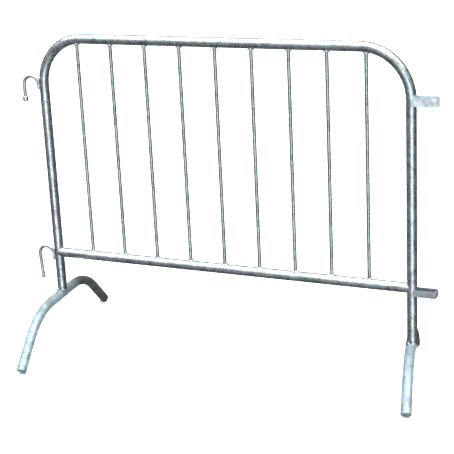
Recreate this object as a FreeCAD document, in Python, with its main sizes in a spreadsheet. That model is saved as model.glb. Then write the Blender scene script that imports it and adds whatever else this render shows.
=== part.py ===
"""Galvanised steel crowd-control barrier with hook and loop ends.

Frame: +X runs along the panel from the hook post to the loop post, -Y is the front, +Z is up.
The origin is on the ground, under the middle of the panel. All sizes are in millimetres.
"""
import FreeCAD, Part
import math
import os

import Sketcher

VEC = FreeCAD.Vector

# ---------------------------------------------------------------------------------------------
# Driving dimensions. Each one can be changed by itself.
# ---------------------------------------------------------------------------------------------
DIMENSIONS = [
    ("overall_height", 1119, "ground to the top of the top rail"),
    ("post_spacing", 1320, "distance between the post axes"),
    ("tube_dia", 33.7, "outer diameter of posts, rails and feet"),
    ("tube_wall", 2, "wall of posts, rails and feet"),
    ("corner_radius", 162, "bend radius of the frame tube's axis at the top corners"),
    ("rail_height", 323, "ground to the bottom rail's axis"),
    ("bar_dia", 12, "diameter of the upright bars"),
    ("bar_pitch", 129, "distance between neighbouring bars"),
    ("post_end_lift", 3, "square end of a post above the axis of its foot"),
    ("left_foot_height", 166, "ground to the axis of the left foot's level middle"),
    ("left_foot_flat", 100, "half the level middle of the left foot"),
    ("left_foot_skew", 6, "turn of the left foot about its post, in degrees"),
    ("left_foot_shift", 8, "how far the left foot sits forward of its post"),
    ("left_foot_inset", 0, "how far the left foot sits inward of its post"),
    ("right_foot_height", 119, "ground to the axis of the right foot's level middle"),
    ("right_foot_flat", 75, "half the level middle of the right foot"),
    ("right_foot_skew", 13.3, "turn of the right foot about its post, in degrees"),
    ("right_foot_shift", 0, "how far the right foot sits forward of its post"),
    ("right_foot_inset", 5, "how far the right foot sits inward of its post"),
    ("foot_radius", 250, "bend radius of a foot tube's axis"),
    ("foot_slope", 43.5, "slope of a foot's legs below level, in degrees"),
    ("foot_cap", 3, "thickness of the discs that close a foot's ends"),
    ("vent_dia", 8, "vent hole at the bottom of each post"),
    ("vent_lift", 5, "middle of a vent hole above the foot's upper side"),
    ("rail_vent_dia", 10, "hidden vent between each post and the bottom rail"),
    ("rod_dia", 12, "diameter of the hook rods"),
    ("upper_link_height", 937, "ground to the middle of the upper hook's crown and the upper loop"),
    ("lower_link_height", 311, "ground to the middle of the lower hook's crown and the lower loop"),
    ("hook_throat", 47, "clear width between a hook's leg and its root"),
    ("hook_root", 16, "straight length of rod welded to the post"),
    ("upper_leg", 42, "straight leg of the upper hook below its crown"),
    ("lower_leg", 93, "straight leg of the lower hook below its crown"),
    ("lower_leg_lean", 3.5, "lean of the lower hook's leg towards the post, in degrees"),
    ("rod_tip_round", 2.5, "rounding of a hook rod's free end"),
    ("knob_dia", 19, "diameter of the stop knob on the upper hook"),
    ("knob_height", 19, "height of the stop knob"),
    ("knob_round", 5, "rounding of the stop knob's edges"),
    ("strap_thickness", 5, "thickness of the loop straps"),
    ("upper_strap_height", 28, "height of the upper loop's strap"),
    ("lower_strap_height", 22, "height of the lower loop's strap"),
    ("loop_gap", 28, "clear width inside a loop"),
    ("strap_start", 6, "post axis to the square ends of a loop's strap"),
    ("upper_loop_reach", 89, "post axis to the outer end of the upper loop"),
    ("lower_loop_reach", 83, "post axis to the outer end of the lower loop"),
    ("upper_loop_corner", 17, "outer corner radius of the upper loop"),
    ("lower_loop_corner", 9, "outer corner radius of the lower loop"),
    ("bar_weld", 4, "size of the weld beads round the bars' ends"),
    ("rail_weld", 7, "size of the weld beads round the bottom rail's ends"),
    ("foot_weld", 6, "size of the weld beads between posts and feet"),
    ("bead_dia", 9, "diameter of the weld runs at hooks and loops"),
]
BAR_COUNT = 9
SIDES = {"left": -1, "right": 1}

# Places that follow from the driving dimensions, as spreadsheet expressions.
POST_X = "dims.post_spacing / 2"
TUBE_R = "dims.tube_dia / 2"
BORE_R = "dims.tube_dia / 2 - dims.tube_wall"
TOP_AXIS = "dims.overall_height - dims.tube_dia / 2"
BEND_START = "(dims.post_spacing / 2 - dims.corner_radius)"
TOE_Z = "dims.tube_dia / 2 * cos(dims.foot_slope * 1 deg)"
CAP_RISE = "dims.foot_cap * sin(dims.foot_slope * 1 deg)"
BAR_R = "dims.bar_dia / 2"
ROD_R = "dims.rod_dia / 2"
CROWN_R = "(dims.hook_throat + dims.rod_dia) / 2"
ROOT_X = "(dims.post_spacing + dims.tube_dia + dims.rod_dia) / 2"
LEG_X = "(dims.post_spacing + dims.tube_dia + dims.rod_dia) / 2 + dims.hook_throat + dims.rod_dia"

doc = FreeCAD.newDocument("barrier")
sheet = doc.addObject("Spreadsheet::Sheet", "dims")
value = {}
for row, (alias, size, meaning) in enumerate(DIMENSIONS, start=1):
    sheet.set(f"A{row}", alias)
    sheet.set(f"B{row}", str(size))
    sheet.set(f"C{row}", meaning)
    sheet.setAlias(f"B{row}", alias)
    value[alias] = float(size)
doc.recompute()


# ---------------------------------------------------------------------------------------------
# Helpers
# ---------------------------------------------------------------------------------------------
def bind(thing, **expressions):
    """Bind properties of a document object to spreadsheet expressions."""
    for name, expression in expressions.items():
        thing.setExpression(name.replace("__", "."), expression)


def place(thing, x=None, y=None, z=None, turn=None):
    """Bind an object's position, and its turn about +Z in degrees."""
    if turn:
        thing.Placement = FreeCAD.Placement(VEC(0, 0, 0), FreeCAD.Rotation(VEC(0, 0, 1), 1))
        bind(thing, Placement__Rotation__Angle=turn)
    for axis, expression in (("x", x), ("y", y), ("z", z)):
        if expression:
            thing.setExpression(f"Placement.Base.{axis}", expression)


def origin_plane(body, role):
    """One of a body's own origin planes."""
    return next(f for f in body.Origin.OriginFeatures if f.Role == role)


def new_body(name):
    return doc.addObject("PartDesign::Body", name)


def new_sketch(body, name, role, lift=None):
    """A sketch on one of the body's origin planes, lifted along its normal if asked."""
    sketch = body.newObject("Sketcher::SketchObject", name)
    sketch.AttachmentSupport = [(origin_plane(body, role), "")]
    sketch.MapMode = "FlatFace"
    if lift:
        bind(sketch, AttachmentOffset__Base__z=lift)
    return sketch


def add_size(sketch, name, expression, constraint):
    """Add a named dimension to a sketch and bind it to the spreadsheet."""
    index = sketch.addConstraint(constraint)
    sketch.renameConstraint(index, name)
    sketch.setExpression(f"Constraints.{name}", expression)


def add_line(sketch, start, end):
    return sketch.addGeometry(Part.LineSegment(VEC(*start, 0), VEC(*end, 0)))


def add_arc(sketch, centre, radius, first, last):
    """An arc drawn counter-clockwise between two angles in degrees."""
    circle = Part.Circle(VEC(*centre, 0), VEC(0, 0, 1), radius)
    return sketch.addGeometry(Part.ArcOfCircle(circle, math.radians(first), math.radians(last)))


def add_rings(sketch, radii, across, up):
    """Concentric circles, one per radius, centred at (across, up) as signed expressions."""
    for index, radius in enumerate(radii):
        ring = sketch.addGeometry(Part.Circle(VEC(0, 0, 0), VEC(0, 0, 1), 20.0 - 5.0 * index))
        add_size(sketch, f"ring_{index}", radius, Sketcher.Constraint("Radius", ring, 15.0))
        for name, kind, away in (("across", "DistanceX", across), ("up", "DistanceY", up)):
            if away is None:
                line = -2 if name == "across" else -1
                sketch.addConstraint(Sketcher.Constraint("PointOnObject", ring, 3, line))
            elif away.startswith("-"):
                link = Sketcher.Constraint(kind, ring, 3, -1, 1, 10.0)
                add_size(sketch, f"{name}_{index}", away[1:], link)
            else:
                link = Sketcher.Constraint(kind, -1, 1, ring, 3, 10.0)
                add_size(sketch, f"{name}_{index}", away, link)


def sweep(body, profile, path):
    """Sweep a profile along every edge of a path sketch."""
    doc.recompute()
    pipe = body.newObject("PartDesign::AdditivePipe", "pipe")
    pipe.Profile = profile
    pipe.Spine = (path, [f"Edge{i + 1}" for i in range(len(path.Shape.Edges))])
    profile.Visibility = False
    body.Tip = pipe
    return pipe


def cylinder(name, radius, height, x=None, y=None, z=None, tilt=None):
    """A cylinder; tilt is (axis, degrees) for one that does not stand upright."""
    thing = doc.addObject("Part::Cylinder", name)
    if tilt:
        thing.Placement = FreeCAD.Placement(VEC(0, 0, 0), FreeCAD.Rotation(VEC(*tilt[0]), tilt[1]))
    bind(thing, Radius=radius, Height=height)
    place(thing, x, y, z)
    return thing


def fused(name, things):
    joined = doc.addObject("Part::MultiFuse", name)
    joined.Shapes = things
    return joined


def cut(name, base, *tools):
    """The base with the tools taken away, one after the other."""
    for step, tool in enumerate(tools, start=1):
        result = doc.addObject("Part::Cut", name if step == len(tools) else f"{name}_cut_{step}")
        result.Base = base
        result.Tool = tool
        base = result
    return result


def common(name, first, second):
    result = doc.addObject("Part::Common", name)
    result.Base = first
    result.Tool = second
    return result


def edges_near(shape, test):
    """Names of the edges whose middle point passes a test."""
    return [f"Edge{i + 1}" for i, edge in enumerate(shape.Edges) if test(edge)]


# ---------------------------------------------------------------------------------------------
# Bent tubes
# ---------------------------------------------------------------------------------------------
def frame_sweep(name, radii):
    """Post, corner, top rail, corner and post as one sweep."""
    half = value["post_spacing"] / 2
    top = value["overall_height"] - value["tube_dia"] / 2
    bend = value["corner_radius"]
    lift = value["post_end_lift"]
    left_end = value["left_foot_height"] + lift
    right_end = value["right_foot_height"] + lift
    body = new_body(name)
    path = new_sketch(body, f"{name}_path", "XZ_Plane")
    left = add_line(path, (-half, left_end), (-half, top - bend))
    left_bend = add_arc(path, (bend - half, top - bend), bend, 90, 180)
    rail = add_line(path, (bend - half, top), (half - bend, top))
    right_bend = add_arc(path, (half - bend, top - bend), bend, 0, 90)
    right = add_line(path, (half, top - bend), (half, right_end))
    path.addConstraint([
        Sketcher.Constraint("Vertical", left),
        Sketcher.Constraint("Horizontal", rail),
        Sketcher.Constraint("Vertical", right),
        Sketcher.Constraint("Tangent", left, 2, left_bend, 2),
        Sketcher.Constraint("Tangent", left_bend, 1, rail, 1),
        Sketcher.Constraint("Tangent", rail, 2, right_bend, 2),
        Sketcher.Constraint("Tangent", right_bend, 1, right, 1),
        Sketcher.Constraint("Equal", left_bend, right_bend),
    ])
    add_size(path, "bend", "dims.corner_radius", Sketcher.Constraint("Radius", left_bend, bend))
    add_size(path, "left_x", POST_X, Sketcher.Constraint("DistanceX", left, 1, -1, 1, half))
    add_size(path, "right_x", POST_X, Sketcher.Constraint("DistanceX", -1, 1, right, 2, half))
    add_size(path, "rail_z", TOP_AXIS, Sketcher.Constraint("DistanceY", -1, 1, rail, 1, top))
    add_size(path, "left_z", "dims.left_foot_height + dims.post_end_lift",
             Sketcher.Constraint("DistanceY", -1, 1, left, 1, left_end))
    add_size(path, "right_z", "dims.right_foot_height + dims.post_end_lift",
             Sketcher.Constraint("DistanceY", -1, 1, right, 2, right_end))
    profile = new_sketch(body, f"{name}_ring", "XY_Plane",
                         "dims.left_foot_height + dims.post_end_lift")
    add_rings(profile, radii, "-" + POST_X, None)
    sweep(body, profile, path)
    return body


def foot_sweep(name, side, radii, capped=False):
    """An arched foot: level middle, two bends and two legs with square ends.

    The body's own +X points along the foot to its front end. The lower rim of each end touches
    the ground, and a capped foot ends short of that by the thickness of its discs.
    """
    height = value[f"{side}_foot_height"]
    flat = value[f"{side}_foot_flat"]
    bend = value["foot_radius"]
    slope = value["foot_slope"]
    turn = math.radians(slope)
    low = value["tube_dia"] / 2 * math.cos(turn)
    knee = (flat + bend * math.sin(turn), height - bend * (1 - math.cos(turn)))
    toe = (knee[0] + (knee[1] - low) / math.tan(turn), low)
    body = new_body(name)
    path = new_sketch(body, f"{name}_path", "XZ_Plane")
    middle = add_line(path, (0, height), (flat, height))
    arc = add_arc(path, (flat, height - bend), bend, 90 - slope, 90)
    leg = add_line(path, toe, knee)
    path.addConstraint([
        Sketcher.Constraint("PointOnObject", middle, 1, -2),
        Sketcher.Constraint("Horizontal", middle),
        Sketcher.Constraint("Tangent", middle, 2, arc, 2),
        Sketcher.Constraint("Tangent", arc, 1, leg, 2),
    ])
    add_size(path, "height", f"dims.{side}_foot_height",
             Sketcher.Constraint("DistanceY", -1, 1, middle, 1, height))
    add_size(path, "flat", f"dims.{side}_foot_flat",
             Sketcher.Constraint("DistanceX", middle, 1, middle, 2, flat))
    add_size(path, "bend", "dims.foot_radius", Sketcher.Constraint("Radius", arc, bend))
    add_size(path, "slope", "180 - dims.foot_slope",
             Sketcher.Constraint("Angle", leg, math.pi - turn))
    add_size(path, "toe", f"{TOE_Z} + {CAP_RISE}" if capped else TOE_Z,
             Sketcher.Constraint("DistanceY", -1, 1, leg, 1, low))
    profile = new_sketch(body, f"{name}_ring", "YZ_Plane")
    add_rings(profile, radii, None, f"dims.{side}_foot_height")
    half = sweep(body, profile, path)
    doc.recompute()

    mirror = body.newObject("PartDesign::Mirrored", "mirror")
    mirror.Originals = [half]
    mirror.MirrorPlane = (origin_plane(body, "YZ_Plane"), [""])
    body.Tip = mirror
    doc.recompute()

    sign = "-" if side == "left" else ""
    shift = f"dims.{side}_foot_shift"
    skew = f"dims.{side}_foot_skew"
    inset = f"{'+' if side == 'left' else '-'} dims.{side}_foot_inset"
    place(body, x=f"{sign}{POST_X} {inset} + {shift} * sin({skew} * 1 deg)",
          y=f"-{shift} * cos({skew} * 1 deg)", turn=f"{skew} - 90")
    return body


# ---------------------------------------------------------------------------------------------
# Solid cores of the tubes: everything that meets a tube is cut to these
# ---------------------------------------------------------------------------------------------
frame_core = frame_sweep("frame_core", [TUBE_R])
foot_cores = {side: foot_sweep(f"{side}_foot_core", side, [TUBE_R]) for side in SIDES}
rail_core = cylinder("rail_core", TUBE_R, "dims.post_spacing",
                     x="-" + POST_X, z="dims.rail_height", tilt=((0, 1, 0), 90))

# ---------------------------------------------------------------------------------------------
# Frame tube, with its saddle ends and vent holes
# ---------------------------------------------------------------------------------------------
vents = []
for side, sign in SIDES.items():
    post_x = f"{sign} * dims.post_spacing / 2"
    vents.append(cylinder(f"{side}_vent", "dims.vent_dia / 2", "dims.tube_dia", x=post_x,
                          z=f"dims.{side}_foot_height + {TUBE_R} + dims.vent_lift",
                          tilt=((1, 0, 0), 90)))
rail_vents = [
    cylinder("left_rail_vent", "dims.rail_vent_dia / 2", "dims.tube_dia * 0.75",
             x="-" + POST_X, z="dims.rail_height", tilt=((0, 1, 0), 90)),
    cylinder("right_rail_vent", "dims.rail_vent_dia / 2", "dims.tube_dia * 0.75",
             x=POST_X, z="dims.rail_height", tilt=((0, 1, 0), -90)),
]
frame_pipe = frame_sweep("frame_pipe", [TUBE_R, BORE_R])
frame_tube = cut("frame_tube", frame_pipe, *foot_cores.values(), *vents, *rail_vents)

# ---------------------------------------------------------------------------------------------
# Bottom rail, its ends cut to the posts
# ---------------------------------------------------------------------------------------------
rail_body = new_body("rail_pipe")
rail_ring = new_sketch(rail_body, "rail_ring", "YZ_Plane")
add_rings(rail_ring, [TUBE_R, BORE_R], None, "dims.rail_height")
rail_pad = rail_body.newObject("PartDesign::Pad", "rail_pad")
rail_pad.Profile = rail_ring
rail_pad.Midplane = True
bind(rail_pad, Length="dims.post_spacing")
rail_body.Tip = rail_pad
bottom_rail = cut("bottom_rail", rail_body, frame_core)

# ---------------------------------------------------------------------------------------------
# Upright bars, cut to the rail below and the frame tube above. Each blank ends on the frame
# tube's axis, which drops away where the outer bars stand under the bends.
# ---------------------------------------------------------------------------------------------
bars = []
bar_blanks = []
bar_growths = []
for number in range(1, BAR_COUNT + 1):
    steps = number - (BAR_COUNT + 1) / 2
    bar_x = f"{steps} * dims.bar_pitch"
    past_bend = f"max({abs(steps)} * dims.bar_pitch - {BEND_START}; 0)"
    bar_length = (f"{TOP_AXIS} - dims.rail_height - dims.corner_radius"
                  f" + sqrt(dims.corner_radius ^ 2 - {past_bend} ^ 2)")
    blank = cylinder(f"bar_blank_{number}", BAR_R, bar_length, x=bar_x, z="dims.rail_height")
    growth = cylinder(f"bar_growth_{number}", BAR_R + " + dims.bar_weld", bar_length,
                      x=bar_x, z="dims.rail_height")
    bars.append(cut(f"bar_{number}", blank, frame_core, rail_core))
    bar_blanks.append(blank)
    bar_growths.append(growth)

# ---------------------------------------------------------------------------------------------
# Feet
# ---------------------------------------------------------------------------------------------
feet = {side: foot_sweep(f"{side}_foot", side, [TUBE_R, BORE_R], capped=True) for side in SIDES}
foot_caps = {
    side: cut(f"{side}_foot_caps", foot_cores[side],
              foot_sweep(f"{side}_foot_uncapped", side, [TUBE_R], capped=True))
    for side in SIDES
}


# ---------------------------------------------------------------------------------------------
# Hooks on the left post
# ---------------------------------------------------------------------------------------------
def hook(name, level, leg_length, lean):
    """A bent rod: root on the post, crown over the top, leg down; returns the body."""
    root = value["hook_root"]
    root_x = -(value["post_spacing"] + value["tube_dia"] + value["rod_dia"]) / 2
    crown = (value["hook_throat"] + value["rod_dia"]) / 2
    height = value[level]
    length = value[leg_length]
    tilt = math.radians(value[lean]) if lean else 0.0
    lean_angle = f"dims.{lean}" if lean else "0"
    end = (root_x - crown - crown * math.cos(tilt), height - crown * math.sin(tilt))
    tip = (end[0] + length * math.sin(tilt), end[1] - length * math.cos(tilt))
    body = new_body(name)
    path = new_sketch(body, f"{name}_path", "XZ_Plane")
    straight = add_line(path, (root_x, height - root), (root_x, height))
    bend = add_arc(path, (root_x - crown, height), crown, 0, 180 + math.degrees(tilt))
    leg = add_line(path, tip, end)
    path.addConstraint([
        Sketcher.Constraint("Vertical", straight),
        Sketcher.Constraint("Tangent", straight, 2, bend, 1),
        Sketcher.Constraint("Tangent", bend, 2, leg, 2),
    ])
    add_size(path, "root", "dims.hook_root",
             Sketcher.Constraint("DistanceY", straight, 1, straight, 2, root))
    add_size(path, "root_x", ROOT_X,
             Sketcher.Constraint("DistanceX", straight, 2, -1, 1, -root_x))
    add_size(path, "level", f"dims.{level}",
             Sketcher.Constraint("DistanceY", -1, 1, straight, 2, height))
    add_size(path, "crown", CROWN_R, Sketcher.Constraint("Radius", bend, crown))
    add_size(path, "leg", f"dims.{leg_length}", Sketcher.Constraint("Distance", leg, length))
    add_size(path, "lean", f"90 + {lean_angle}",
             Sketcher.Constraint("Angle", leg, math.pi / 2 + tilt))
    profile = new_sketch(body, f"{name}_ring", "XY_Plane", f"dims.{level} - dims.hook_root")
    add_rings(profile, [ROD_R], "-" + ROOT_X, None)
    sweep(body, profile, path)
    doc.recompute()
    return body, VEC(tip[0], 0, tip[1])


def round_edges(body, size, test):
    """Fillet the edges of a body that pass a test."""
    base = body.Tip
    names = edges_near(base.Shape, test)
    if not names:
        raise ValueError(f"{body.Name}: no edge to round")
    fillet = body.newObject("PartDesign::Fillet", "rounding")
    fillet.Base = (base, names)
    bind(fillet, Radius=size)
    body.Tip = fillet
    doc.recompute()


upper_hook, upper_tip = hook("upper_hook", "upper_link_height", "upper_leg", None)
lower_hook, lower_tip = hook("lower_hook", "lower_link_height", "lower_leg", "lower_leg_lean")
round_edges(lower_hook, "dims.rod_tip_round",
            lambda edge: (edge.CenterOfMass - lower_tip).Length < 0.01)

knob = new_body("upper_hook_knob")
knob_disc = new_sketch(knob, "knob_disc", "XY_Plane",
                       "dims.upper_link_height - dims.upper_leg - dims.knob_height")
add_rings(knob_disc, ["dims.knob_dia / 2"], f"-({LEG_X})", None)
knob_pad = knob.newObject("PartDesign::Pad", "knob_pad")
knob_pad.Profile = knob_disc
bind(knob_pad, Length="dims.knob_height")
knob.Tip = knob_pad
doc.recompute()
round_edges(knob, "dims.knob_round", lambda edge: isinstance(edge.Curve, Part.Circle))


# ---------------------------------------------------------------------------------------------
# Strap loops on the right post
# ---------------------------------------------------------------------------------------------
def add_box_outline(sketch, start, end, half_width):
    """A rectangle from start to end along X and half_width to each side, as expressions."""
    corners = [(10, -5), (20, -5), (20, 5), (10, 5)]
    lines = [add_line(sketch, corners[i], corners[(i + 1) % 4]) for i in range(4)]
    for i in range(4):
        link = Sketcher.Constraint("Coincident", lines[i], 2, lines[(i + 1) % 4], 1)
        sketch.addConstraint(link)
    for i in (0, 2):
        sketch.addConstraint(Sketcher.Constraint("Horizontal", lines[i]))
        sketch.addConstraint(Sketcher.Constraint("Vertical", lines[i + 1]))
    add_size(sketch, "start", start, Sketcher.Constraint("DistanceX", -1, 1, lines[0], 1, 10))
    add_size(sketch, "finish", end, Sketcher.Constraint("DistanceX", -1, 1, lines[0], 2, 20))
    add_size(sketch, "front", half_width,
             Sketcher.Constraint("DistanceY", lines[0], 1, -1, 1, 5))
    add_size(sketch, "back", half_width,
             Sketcher.Constraint("DistanceY", -1, 1, lines[2], 1, 5))


def strap_loop(which):
    """A flat strap bent to a U, its ends trimmed against the post."""
    start = f"{POST_X} + dims.strap_start"
    reach = f"{POST_X} + dims.{which}_loop_reach"
    bottom = f"dims.{which}_link_height - dims.{which}_strap_height / 2"
    body = new_body(f"{which}_strap")
    outside = new_sketch(body, "outside", "XY_Plane", bottom)
    add_box_outline(outside, start, reach, "dims.loop_gap / 2 + dims.strap_thickness")
    pad = body.newObject("PartDesign::Pad", "block")
    pad.Profile = outside
    bind(pad, Length=f"dims.{which}_strap_height")
    body.Tip = pad
    doc.recompute()
    outer_end = (value["post_spacing"] / 2) + value[f"{which}_loop_reach"]

    def stands_at(limit):
        return lambda edge: (abs(edge.tangentAt(edge.FirstParameter).z) > 0.99
                             and edge.CenterOfMass.x > limit)

    round_edges(body, f"dims.{which}_loop_corner", stands_at(outer_end - 0.01))
    block_volume = body.Shape.Volume

    inside = new_sketch(body, "inside", "XY_Plane", bottom)
    add_box_outline(inside, start, f"{reach} - dims.strap_thickness", "dims.loop_gap / 2")
    pocket = body.newObject("PartDesign::Pocket", "opening")
    pocket.Profile = inside
    pocket.Reversed = True
    bind(pocket, Length=f"dims.{which}_strap_height")
    body.Tip = pocket
    doc.recompute()
    if not body.Shape.Volume < block_volume:
        raise ValueError(f"{which} loop: the opening removed nothing")
    inner_end = outer_end - value["strap_thickness"]
    round_edges(body, f"dims.{which}_loop_corner - dims.strap_thickness",
                lambda edge: (len(edge.Vertexes) == 2
                              and abs(edge.Vertexes[0].X - inner_end) < 0.01
                              and abs(edge.Vertexes[1].X - inner_end) < 0.01
                              and abs(edge.Vertexes[0].Z - edge.Vertexes[1].Z) > 1.0))
    return cut(f"{which}_loop", body, frame_core)


loops = {which: strap_loop(which) for which in ("upper", "lower")}

# ---------------------------------------------------------------------------------------------
# Weld beads: each collar is the overlap of two grown tubes, outside the tubes themselves
# ---------------------------------------------------------------------------------------------
frame_growth = frame_sweep("frame_growth", [TUBE_R + " + dims.bar_weld"])
rail_growth = cylinder("rail_growth", TUBE_R + " + dims.bar_weld", "dims.post_spacing",
                       x="-" + POST_X, z="dims.rail_height", tilt=((0, 1, 0), 90))
all_bars = fused("all_bar_blanks", bar_blanks)
all_growths = fused("all_bar_growths", bar_growths)
bar_top_welds = cut("bar_top_welds", common("top_collars", all_growths, frame_growth),
                    frame_core, all_bars)
bar_bottom_welds = cut("bar_bottom_welds", common("bottom_collars", all_growths, rail_growth),
                       rail_core, all_bars)

rail_end_growth = cylinder("rail_end_growth", TUBE_R + " + dims.rail_weld", "dims.post_spacing",
                           x="-" + POST_X, z="dims.rail_height", tilt=((0, 1, 0), 90))
post_growths = []
foot_collars = []
for side, sign in SIDES.items():
    post_x = f"{sign} * dims.post_spacing / 2"
    post_growths.append(cylinder(
        f"{side}_post_growth", TUBE_R + " + dims.rail_weld", "dims.tube_dia * 3", x=post_x,
        z="dims.rail_height - dims.tube_dia * 1.5"))
    shank = cylinder(f"{side}_shank_growth", TUBE_R + " + dims.foot_weld", "dims.tube_dia",
                     x=post_x, z=f"dims.{side}_foot_height + dims.post_end_lift")
    growth = foot_sweep(f"{side}_foot_growth", side, [TUBE_R + " + dims.foot_weld"])
    foot_collars.append(common(f"{side}_foot_collar", shank, growth))
rail_end_welds = cut("rail_end_welds",
                     common("rail_collars", rail_end_growth, fused("post_growths", post_growths)),
                     frame_core, rail_core)
foot_welds = cut("foot_welds", fused("foot_collars", foot_collars),
                 frame_core, *foot_cores.values(), *vents)


def weld_runs(name, spots, radius, pieces):
    """Upright beads at (x, y, low, length), trimmed to the pieces they join."""
    runs = [
        cylinder(f"{name}_run_{index}", radius, length, x=x, y=y, z=low)
        for index, (x, y, low, length) in enumerate(spots, start=1)
    ]
    return cut(name, fused(f"{name}_runs", runs), *pieces)


BEAD_R = "dims.bead_dia / 2"
HOOK_BEAD_X = "-(dims.post_spacing + dims.tube_dia) / 2 - dims.bead_dia / 4"
HOOK_BEAD_Y = f"{ROD_R} + dims.bead_dia / 12"
hook_spots = [
    (HOOK_BEAD_X, f"{sign} * ({HOOK_BEAD_Y})", f"dims.{which}_link_height - dims.hook_root",
     "dims.hook_root")
    for which in ("upper", "lower") for sign in (-1, 1)
]
hook_welds = weld_runs("hook_welds", hook_spots, BEAD_R, [frame_core, upper_hook, lower_hook])

LOOP_BEAD_X = f"{POST_X} + dims.strap_start - dims.bead_dia / 8"
LOOP_BEAD_Y = "dims.loop_gap / 2 + dims.strap_thickness"
loop_spots = [
    (LOOP_BEAD_X, f"{sign} * ({LOOP_BEAD_Y})",
     f"dims.{which}_link_height - dims.{which}_strap_height / 2",
     f"dims.{which}_strap_height")
    for which in ("upper", "lower") for sign in (-1, 1)
]
loop_welds = weld_runs("loop_welds", loop_spots, BEAD_R, [frame_core, *loops.values()])

# ---------------------------------------------------------------------------------------------
# Check the document and write one file for each sub-part
# ---------------------------------------------------------------------------------------------
doc.recompute()
nodes = [
    frame_tube, bottom_rail, *bars, *feet.values(), *foot_caps.values(), upper_hook, knob, lower_hook,
    *loops.values(), bar_top_welds, bar_bottom_welds, rail_end_welds, foot_welds, hook_welds,
    loop_welds,
]
for thing in doc.Objects:
    if "Invalid" in thing.State or "Error" in thing.State:
        raise ValueError(f"{thing.Label} failed: {thing.State}")
for node in nodes:
    if node.Shape.isNull() or not node.Shape.isValid():
        raise ValueError(f"{node.Label} has no valid shape")

os.makedirs("parts", exist_ok=True)
for node in nodes:
    node.Shape.exportStep(f"parts/{node.Label}.step")
    box = node.Shape.BoundBox
    print(f"{node.Label}: {len(node.Shape.Solids)} solid(s), {node.Shape.Volume / 1000:.2f} cm3, "
          f"X {box.XMin:.1f}..{box.XMax:.1f}, Y {box.YMin:.1f}..{box.YMax:.1f}, "
          f"Z {box.ZMin:.1f}..{box.ZMax:.1f}")
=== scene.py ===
import math

import bpy
from bpy.props import FloatProperty, FloatVectorProperty, PointerProperty
from mathutils import Matrix, Vector


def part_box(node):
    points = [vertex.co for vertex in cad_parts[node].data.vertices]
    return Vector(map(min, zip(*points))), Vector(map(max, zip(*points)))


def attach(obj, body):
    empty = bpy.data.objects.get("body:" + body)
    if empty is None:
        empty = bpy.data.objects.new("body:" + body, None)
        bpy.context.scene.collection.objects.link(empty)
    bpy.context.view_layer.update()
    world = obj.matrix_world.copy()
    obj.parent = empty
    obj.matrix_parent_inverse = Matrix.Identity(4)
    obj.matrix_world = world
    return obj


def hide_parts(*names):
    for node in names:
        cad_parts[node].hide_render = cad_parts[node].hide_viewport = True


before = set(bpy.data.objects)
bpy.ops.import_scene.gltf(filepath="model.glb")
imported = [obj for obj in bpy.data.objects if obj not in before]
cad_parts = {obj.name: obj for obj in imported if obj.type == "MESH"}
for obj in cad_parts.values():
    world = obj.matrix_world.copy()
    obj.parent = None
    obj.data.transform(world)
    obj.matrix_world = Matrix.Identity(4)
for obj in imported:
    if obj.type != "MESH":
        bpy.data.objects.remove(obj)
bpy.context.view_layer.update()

bl_info = {
    "name": "Steel crowd barrier",
    "version": (1, 0, 0),
    "blender": (4, 5, 0),
    "location": "3D Viewport > Sidebar > Barrier",
    "description": "Finishes, weld beads and zinc runs for a hot-dip galvanised crowd barrier",
    "category": "Object",
}

# ---------------------------------------------------------------------------------------------
# Places and sizes taken from the frame, in metres
# ---------------------------------------------------------------------------------------------
rail_low, rail_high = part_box("bottom_rail")
TUBE_R = (rail_high.z - rail_low.z) / 2
RAIL_Z = (rail_high.z + rail_low.z) / 2
POST_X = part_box("frame_tube")[1].x - TUBE_R
hook_low, hook_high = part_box("upper_hook")
ROD_R = (hook_high.y - hook_low.y) / 2
low_hook_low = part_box("lower_hook")[0]
knob_low, knob_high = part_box("upper_hook_knob")
high_loop_low, high_loop_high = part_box("upper_loop")
low_loop_low, low_loop_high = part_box("lower_loop")
MM = 0.001
MERGE = 0.01 * MM           # points nearer than this are one
UNDERCUT = 0.4 * MM         # a fillet's stubs lie this far inside the tubes they cover
FILLET_RISE = 19 * MM       # how far a rail fillet runs along the post, past the rail
FILLET_RUN = 22 * MM        # how far a rail fillet runs along the rail
FILLET_CELL = 1.1 * MM
FILLET_LUMPS = 0.9 * MM
FOOT_BEAD_CELL = 0.9 * MM
CAP_ROUND = 2.4 * MM        # rounding of the discs that close the feet
STRAP_ROUND = 0.9 * MM      # rounding of the loops' edges
SHARP = math.radians(40)    # edges that turn more than this are rounded
VENT_R = 4.3 * MM           # clears the posts' vent holes
VENT_LIFT = 5 * MM          # middle of a vent above the foot's upper side
MOUTH_FLARE = 9 * MM        # how much wider a bead's opening gets outwards
MOUTH_DEPTH = 14 * MM
MOUTH_SINK = 2 * MM         # how far an opening's narrow end lies inside the post
DROP_LUMPS = 0.9 * MM
FLOOR_DROP = 0.5 * MM       # the floor lies this far below the feet
SIDES = {"left": -1, "right": 1}
BARS = [f"bar_{number}" for number in range(1, 10)]
LOOPS = ["upper_loop", "lower_loop"]
RODS = ["upper_hook", "upper_hook_knob", "lower_hook"]
FEET = ["left_foot", "right_foot"]
CAPS = ["left_foot_caps", "right_foot_caps"]


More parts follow.
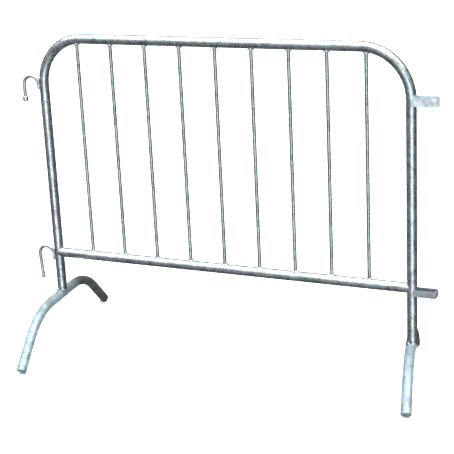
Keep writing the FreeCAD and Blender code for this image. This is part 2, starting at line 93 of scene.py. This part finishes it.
# ---------------------------------------------------------------------------------------------
# Sizes and colours that a user may change
# ---------------------------------------------------------------------------------------------
class BARRIER_PG_zinc(bpy.types.PropertyGroup):
    """Colours and relief of the galvanised finish."""

    cool: FloatVectorProperty(
        name="Cool zinc", description="Colour of the blue-green patches of the coating",
        default=(0.70, 0.86, 0.88), size=3, min=0, max=1, subtype="COLOR")
    plain: FloatVectorProperty(
        name="Plain zinc", description="Colour of most of the coating",
        default=(0.84, 0.87, 0.87), size=3, min=0, max=1, subtype="COLOR")
    warm: FloatVectorProperty(
        name="Purple zinc", description="Colour of the purple-grey patches of the coating",
        default=(0.74, 0.69, 0.78), size=3, min=0, max=1, subtype="COLOR")
    chalk: FloatVectorProperty(
        name="Zinc bloom", description="Colour of the pale, chalky bloom on the coating",
        default=(0.90, 0.95, 0.95), size=3, min=0, max=1, subtype="COLOR")
    spangle: FloatProperty(
        name="Spangle size", description="Size across one zinc crystal",
        default=0.007, min=0.001, max=0.05, unit="LENGTH")
    mottle: FloatProperty(
        name="Mottle size", description="Size across one patch of colour",
        default=0.055, min=0.005, max=0.5, unit="LENGTH")


class BARRIER_PG_welds(bpy.types.PropertyGroup):
    """Sizes of the weld beads."""

    grain: FloatProperty(
        name="Bead grain", description="Size of the cells that a bead is remeshed to",
        default=0.0007, min=0.0003, max=0.003, unit="LENGTH")
    ripple: FloatProperty(
        name="Bead ripple", description="Height of the lumps on a bead",
        default=0.0016, min=0, max=0.005, unit="LENGTH")


class BARRIER_PG_stage(bpy.types.PropertyGroup):
    """Camera, floor and lights."""

    eye: FloatVectorProperty(
        name="Camera place", description="Where the camera stands",
        default=(1.773, -3.800, 1.791), size=3, subtype="XYZ", unit="LENGTH")
    yaw: FloatProperty(
        name="Camera turn", description="Turn of the camera to the left of +Y",
        default=math.radians(24.835), subtype="ANGLE")
    pitch: FloatProperty(
        name="Camera tilt", description="Tilt of the camera below the horizon",
        default=math.radians(17.454), subtype="ANGLE")
    roll: FloatProperty(
        name="Camera roll", description="Roll of the camera about its own axis",
        default=math.radians(-2.812), subtype="ANGLE")
    lens: FloatProperty(
        name="Focal length", description="Focal length for a 36 mm sensor",
        default=102.81, min=10, max=500, unit="CAMERA")
    floor_size: FloatProperty(
        name="Floor size", description="Length of the floor's sides",
        default=80.0, min=4, max=200, unit="LENGTH")
    floor_tone: FloatProperty(
        name="Floor tone", description="Brightness of the floor's paper",
        default=0.92, min=0, max=1, subtype="FACTOR")
    sun_power: FloatProperty(
        name="Key light", description="Strength of the light from above",
        default=2.6, min=0, max=20)
    sun_spread: FloatProperty(
        name="Key light spread", description="Angle that the light from above spreads over",
        default=math.radians(28), min=0, max=math.pi, subtype="ANGLE")
    sun_aim: FloatVectorProperty(
        name="Key light aim", description="Direction that the light from above travels in",
        default=(-0.50, 0.12, -0.86), size=3, subtype="DIRECTION")


# ---------------------------------------------------------------------------------------------
# Modelling helpers
# ---------------------------------------------------------------------------------------------
def deselect():
    for thing in list(bpy.context.selected_objects):
        thing.select_set(False)


def activate(*things):
    """Select these objects and nothing else; the first one is active."""
    deselect()
    for thing in things:
        thing.select_set(True)
    bpy.context.view_layer.objects.active = things[0]


def added(name):
    """The primitive that was just added, named, with its place put into its mesh."""
    thing = bpy.context.view_layer.objects.active
    activate(thing)
    bpy.ops.object.transform_apply(location=True, rotation=True, scale=True)
    thing.name = name
    thing.data.name = name
    return thing


def finish_modifiers(thing):
    activate(thing)
    for modifier in list(thing.modifiers):
        bpy.ops.object.modifier_apply(modifier=modifier.name)


def joined(name, parts):
    activate(*parts)
    bpy.ops.object.join()
    parts[0].name = name
    parts[0].data.name = name
    return parts[0]


def rod(name, radius, start, end, sides=48):
    """A solid round stub between two points."""
    start, end = Vector(start), Vector(end)
    along = end - start
    deselect()
    bpy.ops.mesh.primitive_cylinder_add(
        vertices=sides, radius=radius, depth=along.length, location=(start + end) / 2,
        rotation=along.to_track_quat("Z", "Y").to_euler())
    return added(name)


def merged_copy(node, name):
    """A copy of a CAD node with its loose triangles merged into a closed mesh."""
    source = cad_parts[node]
    copy = bpy.data.objects.new(name, source.data.copy())
    bpy.context.scene.collection.objects.link(copy)
    activate(copy)
    bpy.ops.object.mode_set(mode="EDIT")
    bpy.ops.mesh.select_all(action="SELECT")
    bpy.ops.mesh.customdata_custom_splitnormals_clear()
    bpy.ops.mesh.remove_doubles(threshold=MERGE)
    bpy.ops.object.mode_set(mode="OBJECT")
    return copy


def roughen(thing, cell, height, size, ease):
    """Remesh a rough stub, ease its corners and give it the lumps of a weld bead.

    cell is the remesh's cell, height and size are those of the lumps, and ease is the number
    of smoothing rounds.
    """
    remesh = thing.modifiers.new("cells", "REMESH")
    remesh.mode = "VOXEL"
    remesh.voxel_size = cell
    remesh.use_smooth_shade = True
    smooth = thing.modifiers.new("ease", "SMOOTH")
    smooth.factor = 0.5
    smooth.iterations = ease
    lumps = bpy.data.textures.new(thing.name + "_lumps", "CLOUDS")
    lumps.noise_scale = size
    lumps.noise_depth = 2
    relief = thing.modifiers.new("lumps", "DISPLACE")
    relief.texture = lumps
    relief.texture_coords = "LOCAL"
    relief.mid_level = 0.5
    relief.strength = height
    finish_modifiers(thing)


def settle(thing, slot, material, *nodes):
    """Give a finished piece its place on the body, its finish and the nodes it shows; slot is not
    used.
    """
    activate(thing)
    bpy.ops.object.shade_smooth()
    thing.data.materials.clear()
    thing.data.materials.append(material)
    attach(thing, "root")
    if nodes:
        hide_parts(*nodes)


# ---------------------------------------------------------------------------------------------
# Galvanised finishes
# ---------------------------------------------------------------------------------------------
MIX_SOCKETS = (0, 6, 7)     # a colour mix node's factor and its two colours
MIX_RESULT = 2

# Each noise is its size, as a share of a patch of colour, and where it is moved to
STAIN_SIZE, STAIN_SHIFT = 1 / 2.2, (1.3, 0.2, 2.4)
CHALK_SIZE, CHALK_SHIFT = 1 / 0.45, (3.1, 1.7, 0.4)
PATCH_STOPS = (0.36, 0.47, 0.53, 0.62)
CRYSTAL_DARK, CRYSTAL_DEPTH = 0.70, 0.8
STAIN_DARK, STAIN_DEPTH = 0.58, 0.9
SCRATCH_COLOUR, SCRATCH_DEPTH = (0.30, 0.31, 0.34), 0.5
SCRATCHES_PER_M, SCRATCH_STRETCH, SCRATCH_TURN = 90.0, (7, 7, 1), (0.2, 0.35, 0.1)
CHALK_ROUGHNESS = (0.55, 0.55, 0.55)
GRAINS_PER_M, DENTS_PER_M = 700.0, 60.0
EDGE_TINT = (0.12, 0.15, 0.18, 1)


def set_stops(ramp, stops):
    """Give a colour ramp its stops; each one is (place, colour or grey)."""
    while len(ramp.elements) < len(stops):
        ramp.elements.new(0.5)
    for element, (at, colour) in zip(ramp.elements, stops):
        if isinstance(colour, (int, float)):
            colour = (colour, colour, colour)
        element.position = at
        element.color = (*colour, 1)


class Graph:
    """Adds nodes to a material from left to right."""

    def __init__(self, name):
        self.material = bpy.data.materials.new(name)
        self.material.use_nodes = True
        self.tree = self.material.node_tree
        self.tree.nodes.clear()
        self.output = self.node("ShaderNodeOutputMaterial")
        self.shader = self.node("ShaderNodeBsdfPrincipled")
        self.link(self.shader.outputs[0], self.output.inputs["Surface"])
        self.place = self.node("ShaderNodeTexCoord").outputs["Object"]

    def node(self, kind, **settings):
        made = self.tree.nodes.new(kind)
        for key, setting in settings.items():
            setattr(made, key, setting)
        made.location = (180 * len(self.tree.nodes), 0)
        return made

    def link(self, source, target):
        self.tree.links.new(source, target)

    def moved(self, shift=(0, 0, 0), scale=(1, 1, 1), turn=(0, 0, 0)):
        mapping = self.node("ShaderNodeMapping")
        mapping.inputs["Location"].default_value = shift
        mapping.inputs["Rotation"].default_value = turn
        mapping.inputs["Scale"].default_value = scale
        self.link(self.place, mapping.inputs["Vector"])
        return mapping.outputs["Vector"]

    def noise(self, scale, vector=None, detail=3.0, roughness=0.55, distortion=0.0):
        made = self.node("ShaderNodeTexNoise")
        made.inputs["Scale"].default_value = scale
        made.inputs["Detail"].default_value = detail
        made.inputs["Roughness"].default_value = roughness
        made.inputs["Distortion"].default_value = distortion
        self.link(vector or self.place, made.inputs["Vector"])
        return made.outputs[0]

    def cells(self, scale, vector):
        made = self.node("ShaderNodeTexVoronoi")
        made.inputs["Scale"].default_value = scale
        self.link(vector, made.inputs["Vector"])
        return made.outputs["Color"]

    def ramp(self, source, *stops):
        """A colour ramp; each stop is (place, colour or grey)."""
        made = self.node("ShaderNodeValToRGB")
        set_stops(made.color_ramp, stops)
        self.link(source, made.inputs["Fac"])
        return made.outputs["Color"]

    def mix(self, factor, first, second, blend="MIX"):
        made = self.node("ShaderNodeMix", data_type="RGBA", blend_type=blend)
        for socket, wanted in zip((made.inputs[index] for index in MIX_SOCKETS),
                                  (factor, first, second)):
            if isinstance(wanted, (int, float)):
                socket.default_value = wanted
            elif isinstance(wanted, (tuple, list)):
                socket.default_value = (*wanted, 1)
            else:
                self.link(wanted, socket)
        return made.outputs[MIX_RESULT]

    def bump(self, height, strength, distance, below=None):
        made = self.node("ShaderNodeBump")
        made.inputs["Strength"].default_value = strength
        made.inputs["Distance"].default_value = distance
        self.link(height, made.inputs["Height"])
        if below is not None:
            self.link(below, made.inputs["Normal"])
        return made.outputs["Normal"]


def galvanised(slot, shade=1.0, tint=(1, 1, 1), bloom=0.35, matt=(0.30, 0.46), relief=1.0,
               metal=0.95, shift=(0, 0, 0), painted_shade=None):
    """Hot-dip zinc: patches of cool and purple grey, crystals, pale bloom, fine scratches.

    The last argument, if given, is (axis, start, end, colour): from start to end along the axis
    the finish is more and more multiplied by that colour, which is painted shade.
    """
    zinc = bpy.context.scene.barrier_zinc
    graph = Graph("galvanised_" + slot)
    place = graph.moved(shift=shift)

    def toned(colour):
        return tuple(min(1.0, c * t * shade) for c, t in zip(colour, tint))

    patches = graph.noise(1 / zinc.mottle, place, detail=5, roughness=0.62, distortion=0.4)
    patch_colours = [toned(tone) for tone in (zinc.warm, zinc.plain, zinc.plain, zinc.cool)]
    colour = graph.ramp(patches, *zip(PATCH_STOPS, patch_colours))
    split = graph.node("ShaderNodeSeparateColor")
    graph.link(graph.cells(1 / zinc.spangle, place), split.inputs[0])
    crystal_tone, crystal_gloss, crystal_height = split.outputs
    colour = graph.mix(CRYSTAL_DEPTH, colour,
                       graph.ramp(crystal_tone, (0.0, CRYSTAL_DARK), (1.0, 1.0)),
                       blend="MULTIPLY")
    stains = graph.noise(1 / (STAIN_SIZE * zinc.mottle), graph.moved(shift=STAIN_SHIFT),
                         detail=6, roughness=0.7)
    colour = graph.mix(STAIN_DEPTH, colour, graph.ramp(stains, (0.38, STAIN_DARK), (0.54, 1.0)),
                       blend="MULTIPLY")
    chalk = graph.noise(1 / (CHALK_SIZE * zinc.mottle), graph.moved(shift=CHALK_SHIFT),
                        detail=8, roughness=0.7, distortion=0.6)
    chalk_mask = graph.ramp(chalk, (0.50, 0.0), (0.64, bloom))
    colour = graph.mix(chalk_mask, colour, toned(zinc.chalk))
    scratches = graph.noise(SCRATCHES_PER_M,
                            graph.moved(scale=SCRATCH_STRETCH, turn=SCRATCH_TURN), detail=2)
    scratch_mask = graph.ramp(scratches, (0.66, 0.0), (0.70, SCRATCH_DEPTH))
    colour = graph.mix(scratch_mask, colour, toned(SCRATCH_COLOUR))
    # Painted shade: along one axis the finish is darkened by a multiplied colour.
    if painted_shade:
        axis, start, end, shade_colour = painted_shade
        split_place = graph.node("ShaderNodeSeparateXYZ")
        graph.link(graph.place, split_place.inputs[0])
        reach = graph.node("ShaderNodeMapRange")
        reach.inputs["From Min"].default_value = start
        reach.inputs["From Max"].default_value = end
        graph.link(split_place.outputs[axis], reach.inputs["Value"])
        shaded_colour = graph.mix(1.0, colour, shade_colour, blend="MULTIPLY")
        colour = graph.mix(reach.outputs[0], colour, shaded_colour)
    graph.link(colour, graph.shader.inputs["Base Color"])

    gloss = graph.mix(0.45, graph.ramp(patches, (0.35, matt[0]), (0.65, matt[1])),
                      graph.ramp(crystal_gloss, (0.0, matt[0]), (1.0, matt[1])))
    gloss = graph.mix(chalk_mask, gloss, CHALK_ROUGHNESS)
    graph.link(gloss, graph.shader.inputs["Roughness"])

    dents = graph.bump(graph.noise(DENTS_PER_M, place, detail=1), 0.6 * relief, 1.6 * MM)
    grain = graph.noise(GRAINS_PER_M, detail=2, roughness=0.6)
    fine = graph.bump(grain, 0.05 * relief, 0.2 * MM, below=dents)
    edges = graph.bump(crystal_height, 0.08 * relief, 0.4 * MM, below=fine)
    graph.link(edges, graph.shader.inputs["Normal"])
    graph.shader.inputs["Metallic"].default_value = metal
    graph.shader.inputs["Specular Tint"].default_value = EDGE_TINT
    return graph.material


def finish(slot):
    """The galvanised finish made for a slot; the frame's own material has the slot's bare name."""
    return bpy.data.materials["galvanised_" + slot]


class BARRIER_OT_finishes(bpy.types.Operator):
    """Make the galvanised finishes of tubes, bars, feet, rods, straps and welds."""

    bl_idname = "barrier.finishes"
    bl_label = "Galvanised finishes"

    def execute(self, context):
        galvanised("tube_zinc", shade=0.98, bloom=0.30, matt=(0.16, 0.32))
        galvanised("bar_zinc", shade=0.72, bloom=0.30, matt=(0.12, 0.26), shift=(0.3, 0.2, 0.9))
        # The feet darken from Y 0.02 to 0.12, towards the rear legs: painted shade.
        galvanised("foot_zinc", shade=0.62, tint=(0.86, 0.98, 1.06), bloom=0.40, metal=0.62,
                   matt=(0.50, 0.68), shift=(0.7, 0.1, 0.2),
                   painted_shade=("Y", 0.02, 0.12, (0.36, 0.31, 0.29)))
        galvanised("hook_zinc", shade=0.85, bloom=0.40, matt=(0.26, 0.42), relief=1.3)
        # The loops darken from the upper loop down to the lower loop: painted shade on the lower
        # loop.
        galvanised("strap_zinc", shade=1.08, tint=(0.95, 1.02, 1.05), bloom=0.5, metal=0.60,
                   matt=(0.34, 0.50), shift=(0.2, 0.9, 0.5),
                   painted_shade=("Z", high_loop_low.z, low_loop_high.z, (0.42, 0.39, 0.43)))
        galvanised("weld_zinc", shade=1.1, bloom=0.7, matt=(0.20, 0.40), relief=1.8, metal=0.85)
        return {"FINISHED"}


# ---------------------------------------------------------------------------------------------
# The tubes, bars and rods as the frame holds them
# ---------------------------------------------------------------------------------------------
class BARRIER_OT_steelwork(bpy.types.Operator):
    """Give the tubes, bars, feet, hooks and loops their finish."""

    bl_idname = "barrier.steelwork"
    bl_label = "Tubes, bars, hooks and loops"

    def execute(self, context):
        finishes = {"tube_zinc": ["frame_tube", "bottom_rail"], "bar_zinc": BARS,
                    "foot_zinc": FEET + CAPS, "hook_zinc": RODS, "strap_zinc": LOOPS}
        for name, nodes in finishes.items():
            for node in nodes:
                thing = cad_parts[node]
                if not thing.material_slots:
                    raise RuntimeError(f"{node} has no material slot")
                for material_slot in thing.material_slots:
                    material_slot.link = "OBJECT"
                    material_slot.material = finish(name)
        for node in LOOPS + CAPS:
            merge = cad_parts[node].modifiers.new("merge", "WELD")
            merge.merge_threshold = MERGE
            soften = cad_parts[node].modifiers.new("soften", "BEVEL")
            soften.width = CAP_ROUND if node in CAPS else STRAP_ROUND
            soften.segments = 3
            soften.limit_method = "ANGLE"
            soften.angle_limit = SHARP
        return {"FINISHED"}


# ---------------------------------------------------------------------------------------------
# Weld beads
# ---------------------------------------------------------------------------------------------
class BARRIER_OT_bar_beads(bpy.types.Operator):
    """Lumpy weld beads round both ends of the upright bars."""

    bl_idname = "barrier.bar_beads"
    bl_label = "Bar welds"

    def execute(self, context):
        welds = context.scene.barrier_welds
        for node, name in (("bar_top_welds", "bar_top_beads"),
                           ("bar_bottom_welds", "bar_bottom_beads")):
            beads = merged_copy(node, name)
            roughen(beads, welds.grain, welds.ripple, size=6 * MM, ease=6)
            settle(beads, "weld_zinc", finish("weld_zinc"), node)
        return {"FINISHED"}


class BARRIER_OT_fitting_beads(bpy.types.Operator):
    """Weld beads that hold the hooks and the loops on the posts."""

    bl_idname = "barrier.fitting_beads"
    bl_label = "Hook and loop welds"

    def execute(self, context):
        welds = context.scene.barrier_welds
        for node, name in (("hook_welds", "hook_beads"), ("loop_welds", "loop_beads")):
            beads = merged_copy(node, name)
            roughen(beads, welds.grain, welds.ripple * 1.2, size=7 * MM, ease=5)
            settle(beads, "weld_zinc", finish("weld_zinc"), node)
        return {"FINISHED"}


class BARRIER_OT_rail_fillets(bpy.types.Operator):
    """Flared welds where the bottom rail meets the posts."""

    bl_idname = "barrier.rail_fillets"
    bl_label = "Bottom rail welds"

    def execute(self, context):
        fillets = []
        for side, sign in SIDES.items():
            post_x = sign * POST_X
            rise = TUBE_R + FILLET_RISE
            post = rod("post_stub", TUBE_R - UNDERCUT, (post_x, 0, RAIL_Z - rise),
                       (post_x, 0, RAIL_Z + rise))
            rail = rod("rail_stub", TUBE_R - UNDERCUT, (post_x, 0, RAIL_Z),
                       (sign * (POST_X - TUBE_R - FILLET_RUN), 0, RAIL_Z))
            fillet = joined(f"rail_fillet_{side}", [post, rail])
            roughen(fillet, FILLET_CELL, FILLET_LUMPS, size=12 * MM, ease=60)
            fillets.append(fillet)
        settle(fillets[0], "weld_zinc", finish("weld_zinc"), "rail_end_welds")
        settle(fillets[1], "weld_zinc", finish("weld_zinc"))
        return {"FINISHED"}


class BARRIER_OT_foot_fillets(bpy.types.Operator):
    """Welds round the posts where they stand on the feet, open at the posts' vents."""

    bl_idname = "barrier.foot_fillets"
    bl_label = "Foot welds"

    def execute(self, context):
        welds = context.scene.barrier_welds
        beads = merged_copy("foot_welds", "foot_beads")
        roughen(beads, FOOT_BEAD_CELL, welds.ripple * 1.2, size=9 * MM, ease=14)
        mouths = []
        for side, sign in SIDES.items():
            vent_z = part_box(f"{side}_foot")[1].z + VENT_LIFT
            for face in (-1, 1):
                mouth_y = face * (TUBE_R - MOUTH_SINK + MOUTH_DEPTH / 2)
                deselect()
                bpy.ops.mesh.primitive_cone_add(
                    vertices=32, radius1=VENT_R, radius2=VENT_R + MOUTH_FLARE, depth=MOUTH_DEPTH,
                    location=(sign * POST_X, mouth_y, vent_z),
                    rotation=(math.radians(-90 * face), 0, 0))
                mouths.append(added("mouth"))
        mouth = joined("vent_mouths", mouths)
        opened = beads.modifiers.new("vents", "BOOLEAN")
        opened.operation = "DIFFERENCE"
        opened.solver = "EXACT"
        opened.object = mouth
        finish_modifiers(beads)
        bpy.data.objects.remove(mouth)
        settle(beads, "weld_zinc", finish("weld_zinc"), "foot_welds")
        return {"FINISHED"}


# ---------------------------------------------------------------------------------------------
# Zinc runs and drops left by the dipping
# ---------------------------------------------------------------------------------------------
FRONT = -TUBE_R
RAIL_UNDER = RAIL_Z - TUBE_R + 0.4 * MM

# Each drop is the place of its middle, in metres, and half its sizes, in millimetres
DROPS = [
    # left post: beside the knob, below the rail, under the rail's end
    ((-POST_X + 0.45 * TUBE_R, 0.9 * FRONT, knob_low.z + 7 * MM), (2.2, 1.4, 4.0)),
    ((-POST_X, FRONT, RAIL_Z - 98 * MM), (2.0, 1.2, 4.5)),
    ((-POST_X + 0.5 * TUBE_R, 0.85 * FRONT, RAIL_Z - 24 * MM), (3.2, 2.0, 3.4)),
    # right post: above the upper loop, and on its corner
    ((POST_X - 0.3 * TUBE_R, 0.95 * FRONT, high_loop_high.z + 20 * MM), (2.4, 1.4, 3.6)),
    ((POST_X + 0.75 * TUBE_R, -0.4 * TUBE_R, high_loop_high.z + MM), (3.4, 3.0, 2.6)),
    # tips of the lower hook and of the knob
    ((low_hook_low.x + ROD_R, 0, low_hook_low.z + 2.2 * MM), (3.4, 3.4, 3.0)),
    (((knob_low.x + knob_high.x) / 2, 0, knob_low.z + 2.2 * MM), (4.4, 4.4, 3.0)),
    # lower edges of the loops
    ((POST_X + 52 * MM, high_loop_low.y + 2.5 * MM, high_loop_low.z + 1.2 * MM),
     (3.0, 2.4, 2.4)),
    ((POST_X + 36 * MM, low_loop_low.y + 2.5 * MM, low_loop_low.z + 1.2 * MM), (2.6, 2.2, 2.0)),
    # underside of the bottom rail
    ((-318 * MM, 0, RAIL_UNDER), (4.0, 2.4, 1.8)),
    ((207 * MM, MM, RAIL_UNDER), (3.4, 2.2, 1.6)),
    ((484 * MM, 0, RAIL_UNDER), (4.4, 2.6, 2.0)),
]


class BARRIER_OT_zinc_drops(bpy.types.Operator):
    """Small frozen drops and runs of zinc on the tubes, hooks and loops."""

    bl_idname = "barrier.zinc_drops"
    bl_label = "Zinc drops"

    def execute(self, context):
        drops = []
        for centre, sizes in DROPS:
            deselect()
            bpy.ops.mesh.primitive_uv_sphere_add(segments=20, ring_count=12, radius=MM,
                                                 location=centre, scale=sizes)
            drops.append(added("drop"))
        pool = joined("zinc_drops", drops)
        lumps = bpy.data.textures.new("drop_lumps", "CLOUDS")
        lumps.noise_scale = 4 * MM
        relief = pool.modifiers.new("lumps", "DISPLACE")
        relief.texture = lumps
        relief.texture_coords = "LOCAL"
        relief.strength = DROP_LUMPS
        finish_modifiers(pool)
        settle(pool, "weld_zinc", finish("weld_zinc"))
        return {"FINISHED"}


# ---------------------------------------------------------------------------------------------
# Stage
# ---------------------------------------------------------------------------------------------
# Light from all round: the direction that each glow lies in, and its brightness from the far
# side (0) to that direction (1)
GLOWS = [
    ((-0.15, -0.25, 0.90),
     [(0.0, (0.04, 0.04, 0.045)), (0.30, (0.04, 0.045, 0.05)), (0.48, (0.07, 0.075, 0.08)),
      (0.66, (0.20, 0.21, 0.22)), (0.80, (0.70, 0.80, 0.82)), (0.92, (2.6, 2.9, 2.9))]),
    ((0.40, -0.866, -0.20),
     [(0.0, (0, 0, 0)), (0.68, (0, 0, 0)), (0.86, (0.12, 0.12, 0.14)),
      (0.955, (0.34, 0.40, 0.42)), (0.975, (1.5, 1.75, 1.8))]),
]


def glow(tree, place, towards, stops):
    """Brightness that depends on how near a direction lies to another."""
    facing = tree.nodes.new("ShaderNodeVectorMath")
    facing.operation = "DOT_PRODUCT"
    facing.inputs[1].default_value = Vector(towards).normalized()
    level = tree.nodes.new("ShaderNodeMath")
    level.operation = "MULTIPLY_ADD"
    level.inputs[1].default_value = 0.5
    level.inputs[2].default_value = 0.5
    ramp = tree.nodes.new("ShaderNodeValToRGB")
    set_stops(ramp.color_ramp, stops)
    tree.links.new(place, facing.inputs[0])
    tree.links.new(facing.outputs["Value"], level.inputs[0])
    tree.links.new(level.outputs[0], ramp.inputs["Fac"])
    return ramp.outputs["Color"]


def studio_world():
    world = bpy.data.worlds.new("studio")
    world.use_nodes = True
    tree = world.node_tree
    tree.nodes.clear()
    output = tree.nodes.new("ShaderNodeOutputWorld")
    background = tree.nodes.new("ShaderNodeBackground")
    place = tree.nodes.new("ShaderNodeTexCoord").outputs["Generated"]
    both = tree.nodes.new("ShaderNodeVectorMath")
    both.operation = "ADD"
    for socket, (towards, stops) in zip(both.inputs, GLOWS):
        tree.links.new(glow(tree, place, towards, stops), socket)
    tree.links.new(both.outputs[0], background.inputs["Color"])
    tree.links.new(background.outputs[0], output.inputs["Surface"])
    return world


class BARRIER_OT_stage(bpy.types.Operator):
    """Camera, plain pale floor and soft studio light."""

    bl_idname = "barrier.stage"
    bl_label = "Camera, floor and lights"

    def execute(self, context):
        stage = context.scene.barrier_stage
        turned = (Matrix.Rotation(stage.yaw, 3, "Z")
                  @ Matrix.Rotation(math.radians(90) - stage.pitch, 3, "X")
                  @ Matrix.Rotation(stage.roll, 3, "Z"))
        bpy.ops.object.camera_add(location=stage.eye, rotation=turned.to_euler())
        camera = context.view_layer.objects.active
        camera.name = "camera"
        camera.data.lens = stage.lens
        camera.data.sensor_width = 36
        camera.data.clip_end = 200
        context.scene.camera = camera

        deselect()
        bpy.ops.mesh.primitive_plane_add(size=stage.floor_size, location=(0, 0, -FLOOR_DROP))
        floor = added("floor")
        graph = Graph("floor_paper")
        graph.shader.inputs["Roughness"].default_value = 0.9
        graph.shader.inputs["Base Color"].default_value = (*[stage.floor_tone] * 3, 1)
        floor.data.materials.append(graph.material)
        floor.visible_glossy = False

        bpy.ops.object.light_add(type="SUN", location=(2, -1, 4))
        sun = context.view_layer.objects.active
        sun.name = "key_light"
        sun.data.energy = stage.sun_power
        sun.data.angle = stage.sun_spread
        sun.rotation_mode = "QUATERNION"
        sun.rotation_quaternion = Vector(stage.sun_aim).to_track_quat("-Z", "Y")

        context.scene.world = studio_world()
        context.scene.view_settings.view_transform = "Standard"
        return {"FINISHED"}


class BARRIER_PT_panel(bpy.types.Panel):
    """Lists the barrier's steps in the sidebar."""

    bl_label = "Steel crowd barrier"
    bl_idname = "BARRIER_PT_panel"
    bl_space_type = "VIEW_3D"
    bl_region_type = "UI"
    bl_category = "Barrier"

    def draw(self, context):
        for operator in OPERATORS:
            self.layout.operator(operator.bl_idname)


GROUPS = {"barrier_zinc": BARRIER_PG_zinc, "barrier_welds": BARRIER_PG_welds,
          "barrier_stage": BARRIER_PG_stage}
OPERATORS = [BARRIER_OT_finishes, BARRIER_OT_steelwork, BARRIER_OT_bar_beads,
             BARRIER_OT_fitting_beads, BARRIER_OT_rail_fillets, BARRIER_OT_foot_fillets,
             BARRIER_OT_zinc_drops, BARRIER_OT_stage]


def register():
    for cls in (*GROUPS.values(), *OPERATORS, BARRIER_PT_panel):
        bpy.utils.register_class(cls)
    for name, group in GROUPS.items():
        setattr(bpy.types.Scene, name, PointerProperty(type=group))


def unregister():
    for name in GROUPS:
        delattr(bpy.types.Scene, name)
    for cls in (BARRIER_PT_panel, *reversed(OPERATORS), *reversed(list(GROUPS.values()))):
        bpy.utils.unregister_class(cls)


def main():
    register()
    for operator in OPERATORS:
        family, step = operator.bl_idname.split(".")
        getattr(getattr(bpy.ops, family), step)()


if __name__ == "__main__":
    main()
